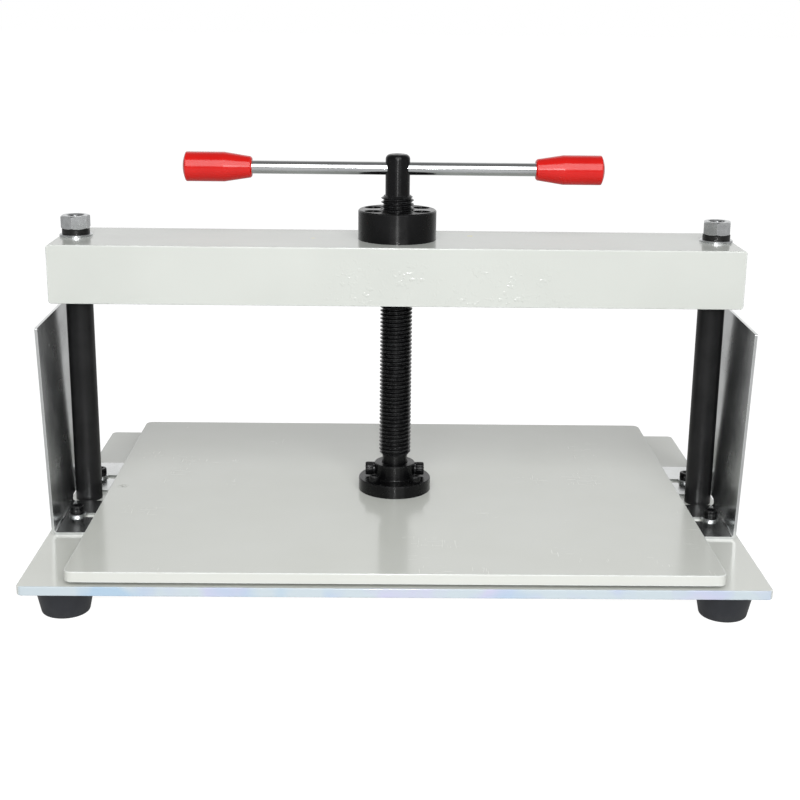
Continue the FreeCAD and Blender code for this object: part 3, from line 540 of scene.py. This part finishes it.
# ---------------------------------------------------------------- camera, light, floor
CAMERA_PLACE = (-0.01079, -1.02862, 0.39722)
CAMERA_YAW, CAMERA_PITCH, CAMERA_ROLL = 0.01395, 0.27361, 0.01177    # radians
CAMERA_LENS, SENSOR_WIDTH = 63.13, 36.0                              # mm
KEY_PLACE, KEY_AIM = (0.15, -1.78, 1.40), (0, 0, 0.12)
KEY_WIDTH, KEY_HEIGHT, KEY_WATTS = 2.0, 1.9, 46
LAMP_PLACE, LAMP_AIM = (0.0, -1.15, 0.50), (0, 0, 0.20)
LAMP_SIDE, LAMP_WATTS = 0.05, 4.5
FLOOR_SIDE = 40
# glow of the floor and the room: what they throw back, and what is seen directly
FLOOR_GLOW, FLOOR_SEEN = 0.40, 0.93
ROOM_SIDES, ROOM_SWEEP, ROOM_SEEN = 0.26, 1.0, 1.0


def camera():
    """Camera a little above the press, looking down at it from the operator's side."""
    yaw, pitch, roll = CAMERA_YAW, CAMERA_PITCH, CAMERA_ROLL
    forward = Vector((sin(yaw) * cos(pitch), cos(yaw) * cos(pitch), -sin(pitch)))
    level = Vector((cos(yaw), -sin(yaw), 0))
    upward = level.cross(forward)
    right = level * cos(roll) + upward * sin(roll)
    up = upward * cos(roll) - level * sin(roll)
    turn = Matrix((right, up, -forward)).transposed().to_4x4()
    data = bpy.data.cameras.new("camera")
    data.lens = CAMERA_LENS
    data.sensor_width = SENSOR_WIDTH
    data.clip_start = 0.05
    data.clip_end = 100.0
    made = bpy.data.objects.new("camera", data)
    made.matrix_world = Matrix.Translation(CAMERA_PLACE) @ turn
    bpy.context.scene.collection.objects.link(made)
    bpy.context.scene.camera = made


def softbox(name, place, aim, width, height, watts):
    """Rectangular light at a place, turned to face its aim."""
    data = bpy.data.lights.new(name, "AREA")
    data.shape = "RECTANGLE"
    data.size = width
    data.size_y = height
    data.energy = watts
    made = bpy.data.objects.new(name, data)
    made.location = place
    made.rotation_euler = (Vector(aim) - Vector(place)).to_track_quat("-Z", "Y").to_euler()
    bpy.context.scene.collection.objects.link(made)


def floor():
    """White paper under the press, spread to the horizon. It is lit to plain white where it
    is seen directly, and throws back only the soft grey of unlit paper."""
    nothing_selected()
    bpy.ops.mesh.primitive_plane_add(size=FLOOR_SIDE, location=(0, 0, 0))
    sheet = bpy.context.object
    sheet.name = "floor"
    paper, tree, place = start_finish("white_paper")
    colour = add(tree, "Mix", {0: cloud(tree, place, 400), 6: "#858585", 7: "#888888"},
                 data_type="RGBA")[2]
    seen = add(tree, "LightPath", {})["Is Camera Ray"]
    glow = add(tree, "Mix", {0: seen, 2: FLOOR_GLOW, 3: FLOOR_SEEN}, data_type="FLOAT")[0]
    coat_with(tree, {"Base Color": colour, "Roughness": 0.9, "Specular IOR Level": 0.0,
                     "Emission Color": "#FFFFFF", "Emission Strength": glow})
    sheet.data.materials.append(paper)


def room():
    """A dim room with a bright paper sweep behind the press. Seen directly it is all plain
    white, so the press stands on white from every side."""
    world = bpy.data.worlds.new("studio")
    bpy.context.scene.world = world
    world.use_nodes = True
    tree = world.node_tree
    tree.nodes.clear()
    heading = add(tree, "SeparateXYZ", {0: add(tree, "TexCoord", {})["Generated"]})
    sweep = add(tree, "MapRange", {"Value": heading["Y"], "From Min": 0.45, "From Max": 0.85,
                                   "To Min": ROOM_SIDES, "To Max": ROOM_SWEEP},
                interpolation_type="SMOOTHSTEP")[0]
    seen = add(tree, "LightPath", {})["Is Camera Ray"]
    strength = add(tree, "Mix", {0: seen, 2: sweep, 3: ROOM_SEEN}, data_type="FLOAT")[0]
    sky = add(tree, "Background", {"Color": "#FFFFFF", "Strength": strength})[0]
    add(tree, "OutputWorld", {"Surface": sky})


camera()
floor()
room()
softbox("key_above_the_camera", KEY_PLACE, KEY_AIM, KEY_WIDTH, KEY_HEIGHT, KEY_WATTS)
softbox("lamp_by_the_camera", LAMP_PLACE, LAMP_AIM, LAMP_SIDE, LAMP_SIDE, LAMP_WATTS)
bpy.context.scene.view_settings.view_transform = "Standard"
